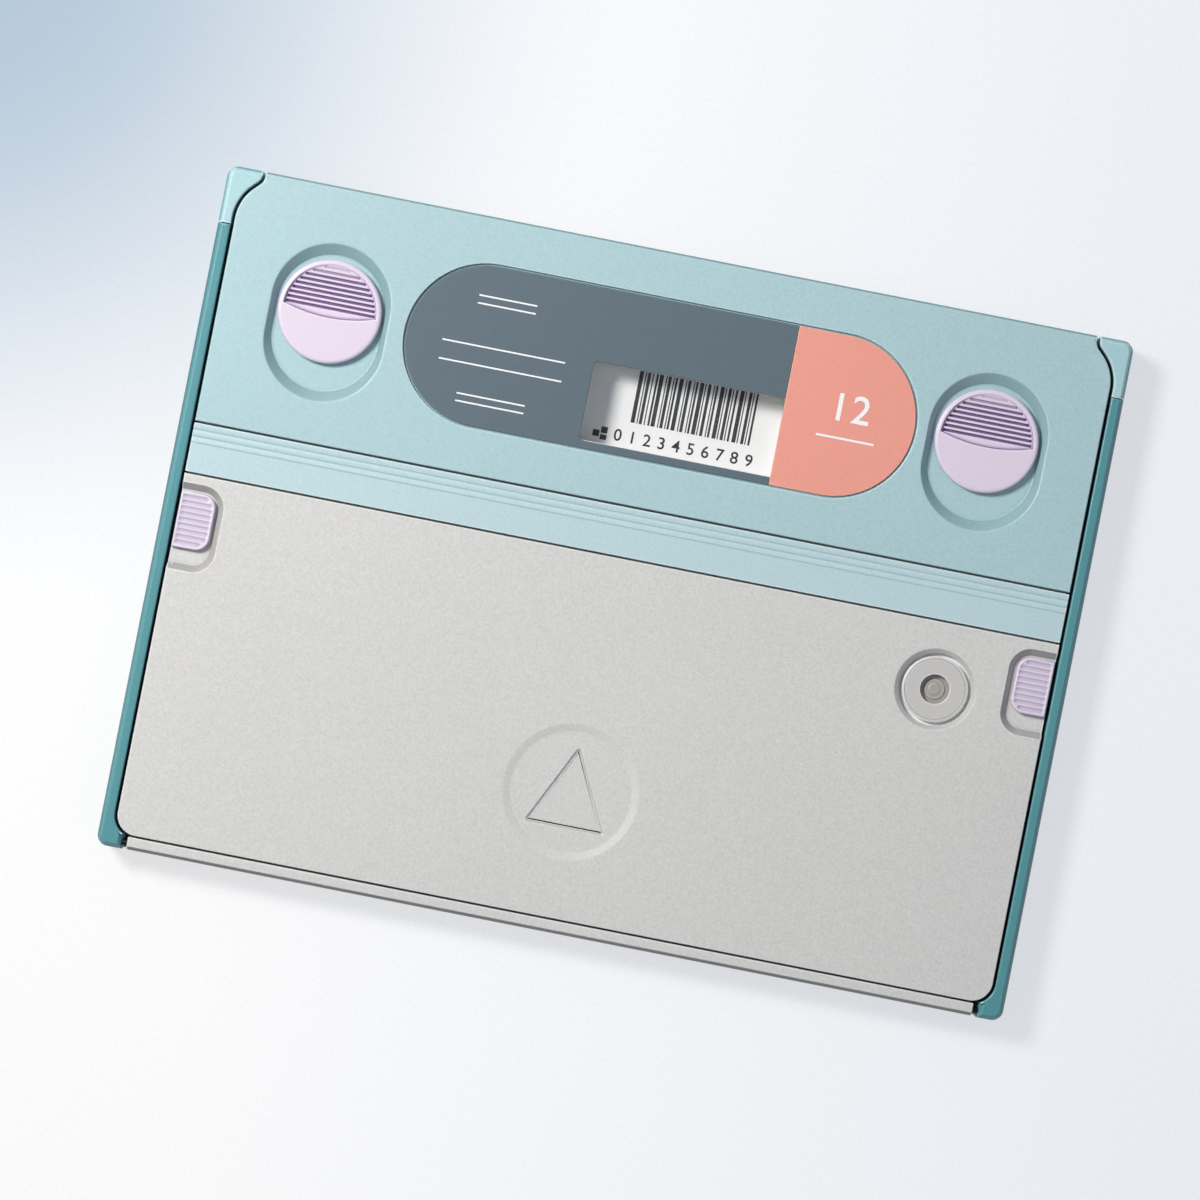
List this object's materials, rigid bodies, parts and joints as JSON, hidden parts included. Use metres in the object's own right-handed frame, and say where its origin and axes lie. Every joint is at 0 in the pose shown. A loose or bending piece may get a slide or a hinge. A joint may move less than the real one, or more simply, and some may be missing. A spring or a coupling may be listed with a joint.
{
  "type": "x-ray cassette",
  "caption": "Flat hinged x-ray cassette with side rails, sliding latch knobs, ribbed side buttons, a label window and a release port over an inner imaging plate.",
  "frame": {"origin": "middle of the tube-side face, which the closed cassette lies on", "axes": "+X along the cassette to the right as seen from the lid, +Y from the hinge edge to the latch edge, +Z out of the lid's face"},
  "size_m": [0.266, 0.1994, 0.015],
  "materials": {
    "tray_black": "fine moulded texture, near black",
    "entrance_sheet": "pale grey fibre sheet with a fine weave",
    "rail_teal": "satin moulded plastic, mid teal",
    "cover_teal": "satin moulded plastic, pale teal",
    "strip_pale": "satin moulded plastic, very pale blue green",
    "panel_grey": "fine grained moulded plastic, pale grey",
    "knob_lilac": "satin moulded plastic, lilac",
    "button_lilac": "satin moulded plastic, lilac",
    "label_slate": "smooth label film, slate blue",
    "tag_salmon": "smooth label film, salmon",
    "lens": "clear polished plastic",
    "shroud_grey": "plain moulded plastic, mid grey",
    "port_grey": "satin moulded plastic, warm grey",
    "plunger_grey": "satin moulded plastic, mid grey",
    "steel": "brushed stainless steel",
    "spring_steel": "drawn wire",
    "shield_steel": "dull sheet",
    "pan_aluminium": "plain sheet",
    "pad_foam": "black felt-faced foam",
    "felt": "black felt",
    "plate_white": "smooth coated plate, off white",
    "label_paper": "matt white label paper"
  },
  "bodies": {
    "tray": {"tray_frame": "tray_black", "front_sheet": "entrance_sheet", "rail_left": "rail_teal", "rail_right": "rail_teal", "corner_cap_left": "cover_teal", "corner_cap_right": "cover_teal", "keeper_front_left": "steel", "keeper_front_right": "steel", "keeper_side_left": "steel", "keeper_side_right": "steel", "light_seal": "felt", "front_felt": "felt", "imaging_plate": "plate_white", "plate_label": "label_paper", "hinge_pins": "steel", "rim_screws": "steel"},
    "lid": {"lid_pan": "pan_aluminium", "shield_foil": "shield_steel", "pressure_pad": "pad_foam", "upper_cover": "cover_teal", "ridge_strip": "strip_pale", "back_panel": "panel_grey", "hinge_spine": "panel_grey", "label_plate": "label_slate", "size_tag": "tag_salmon", "window_lens": "lens", "window_shroud": "shroud_grey", "port_bush": "port_grey", "lid_screws": "steel", "hinge_screws": "steel", "knob_spring_left": "spring_steel", "knob_spring_right": "spring_steel", "button_spring_left": "spring_steel", "button_spring_right": "spring_steel", "plunger_spring": "spring_steel"},
    "latch_left": {"knob_left": "knob_lilac", "latch_bolt_left": "steel", "knob_screw_left": "steel"},
    "latch_right": {"knob_right": "knob_lilac", "latch_bolt_right": "steel", "knob_screw_right": "steel"},
    "side_latch_left": {"side_button_left": "button_lilac", "side_bolt_left": "steel"},
    "side_latch_right": {"side_button_right": "button_lilac", "side_bolt_right": "steel"},
    "plunger": {"plunger": "plunger_grey"}
  },
  "joints": [
    {"name": "lid_hinge", "type": "hinge", "parent": "tray", "child": "lid", "pos_m": [0, -0.09767, 0.0124], "axis": [1, 0, 0], "range_deg": [0, 100]},
    {"name": "knob_left_slide", "type": "slide", "parent": "lid", "child": "latch_left", "axis": [0, -1, 0], "range_m": [0, 0.0065], "stiffness_N_per_m": 300, "springref_m": -0.003, "deforming": ["knob_spring_left"]},
    {"name": "knob_right_slide", "type": "slide", "parent": "lid", "child": "latch_right", "axis": [0, -1, 0], "range_m": [0, 0.0065], "stiffness_N_per_m": 300, "springref_m": -0.003, "deforming": ["knob_spring_right"]},
    {"name": "button_left_slide", "type": "slide", "parent": "lid", "child": "side_latch_left", "axis": [0, -1, 0], "range_m": [0, 0.004], "stiffness_N_per_m": 300, "springref_m": -0.003, "deforming": ["button_spring_left"]},
    {"name": "button_right_slide", "type": "slide", "parent": "lid", "child": "side_latch_right", "axis": [0, -1, 0], "range_m": [0, 0.004], "stiffness_N_per_m": 300, "springref_m": -0.003, "deforming": ["button_spring_right"]},
    {"name": "plunger_press", "type": "slide", "parent": "lid", "child": "plunger", "axis": [0, 0, -1], "range_m": [0, 0.001], "stiffness_N_per_m": 800, "springref_m": -0.0005, "deforming": ["plunger_spring"]}
  ]
}
